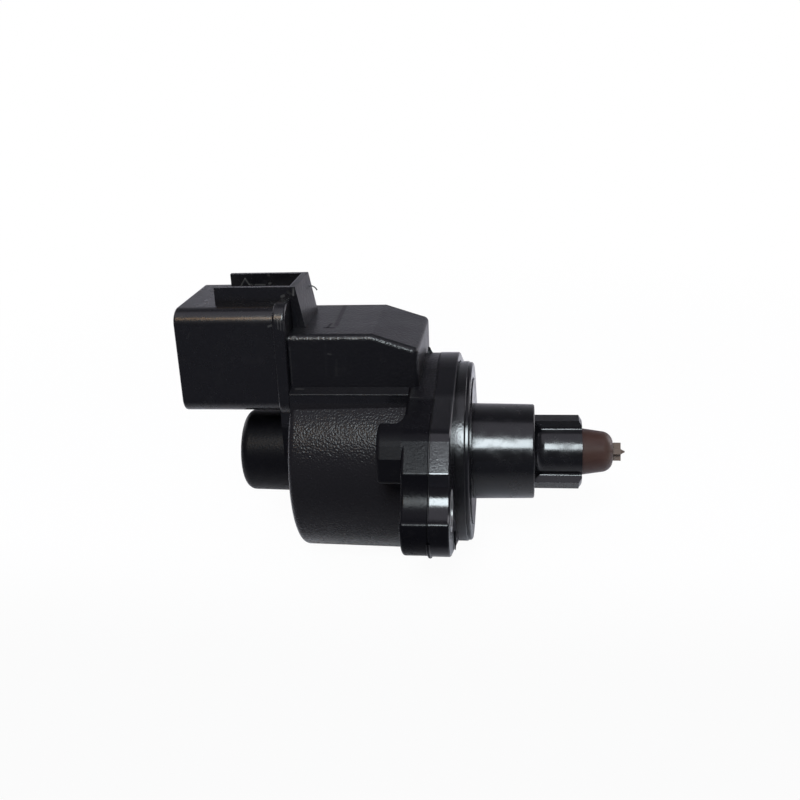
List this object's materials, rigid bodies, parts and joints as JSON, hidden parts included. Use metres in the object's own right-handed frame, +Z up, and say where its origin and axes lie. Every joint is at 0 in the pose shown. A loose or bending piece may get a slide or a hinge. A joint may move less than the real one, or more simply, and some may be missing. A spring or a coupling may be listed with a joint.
{
  "type": "idle air control valve",
  "caption": "Stepper-driven idle air control valve: black moulded motor body with a screw flange, a side connector, a sealed spigot and a sliding pintle.",
  "frame": {"origin": "centre of the flange's front face, on the valve's axis", "axes": "+X along the valve's axis towards the nose, +Z up through the connector block, the two screw ears along Y"},
  "size_m": [0.0834, 0.0686, 0.0542],
  "materials": {
    "housing_plastic": "satin, grained on the motor can",
    "nose_plastic": "gloss",
    "pintle_plastic": "satin",
    "inner_plastic": "matt",
    "seal_rubber": "satin",
    "steel": "satin",
    "bearing_steel": "ground",
    "bush_bronze": "sintered",
    "winding_copper": "enamelled",
    "magnet_ferrite": "matt",
    "terminal_tin": "tinned"
  },
  "bodies": {
    "valve_body": {"housing": "housing_plastic", "seal_ring": "seal_rubber", "nose_guide": "nose_plastic", "near_ear_sleeve": "steel", "far_ear_sleeve": "steel", "rear_stator_cup": "steel", "rear_pole_plate": "steel", "rear_bobbin": "inner_plastic", "rear_winding": "winding_copper", "front_stator_cup": "steel", "front_pole_plate": "steel", "front_bobbin": "inner_plastic", "front_winding": "winding_copper", "lower_terminal_1": "terminal_tin", "lower_terminal_2": "terminal_tin", "lower_terminal_3": "terminal_tin", "upper_terminal_1": "terminal_tin", "upper_terminal_2": "terminal_tin", "upper_terminal_3": "terminal_tin", "bearing_outer_race": "bearing_steel", "preload_washer": "steel", "rear_bush": "bush_bronze"},
    "rotor": {"rotor_nut": "inner_plastic", "rotor_magnet": "magnet_ferrite", "bearing_inner_race": "bearing_steel", "bearing_balls": "bearing_steel", "bearing_cage": "inner_plastic"},
    "plunger": {"pintle": "pintle_plastic", "lead_screw": "steel"}
  },
  "joints": [
    {"name": "rotor_spin", "type": "hinge", "parent": "valve_body", "child": "rotor", "pos_m": [0, 0, 0], "axis": [1, 0, 0], "range_deg": [-990, 810]},
    {"name": "pintle_slide", "type": "slide", "parent": "valve_body", "child": "plunger", "axis": [1, 0, 0], "range_m": [-0.0045, 0.0055]}
  ],
  "couplings": [
    {"joint": "pintle_slide", "follows": "rotor_spin", "m_per_rad": -0.00031831}
  ]
}
